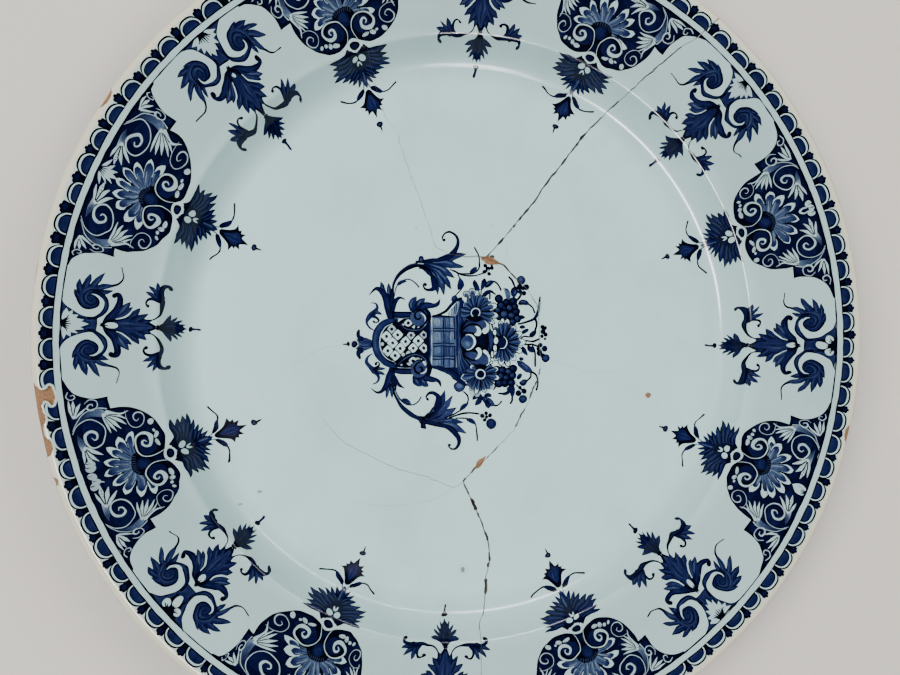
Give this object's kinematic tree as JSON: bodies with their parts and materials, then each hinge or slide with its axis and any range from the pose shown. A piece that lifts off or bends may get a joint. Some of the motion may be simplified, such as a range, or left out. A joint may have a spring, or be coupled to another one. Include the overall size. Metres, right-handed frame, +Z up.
{
  "type": "broken glazed dish",
  "caption": "Large round tin-glazed dish with a wide rim, broken right through; its fragments lie fitted together on the foot ring.",
  "frame": {"origin": "centre of the foot ring, on the plane that it rests on", "axes": "+Z straight up out of the well of the dish; +Y towards the top_fragment, nearly along the dish's longest diameter; +X towards the right_fragment"},
  "size_m": [0.5548, 0.5652, 0.0549],
  "materials": {
    "tin_glazed_earthenware": "pale glossy tin glaze painted in cobalt blue, over a buff-orange clay body"
  },
  "bodies": {
    "root": {"left_fragment": "tin_glazed_earthenware", "right_fragment": "tin_glazed_earthenware", "top_fragment": "tin_glazed_earthenware"}
  },
  "joints": []
}
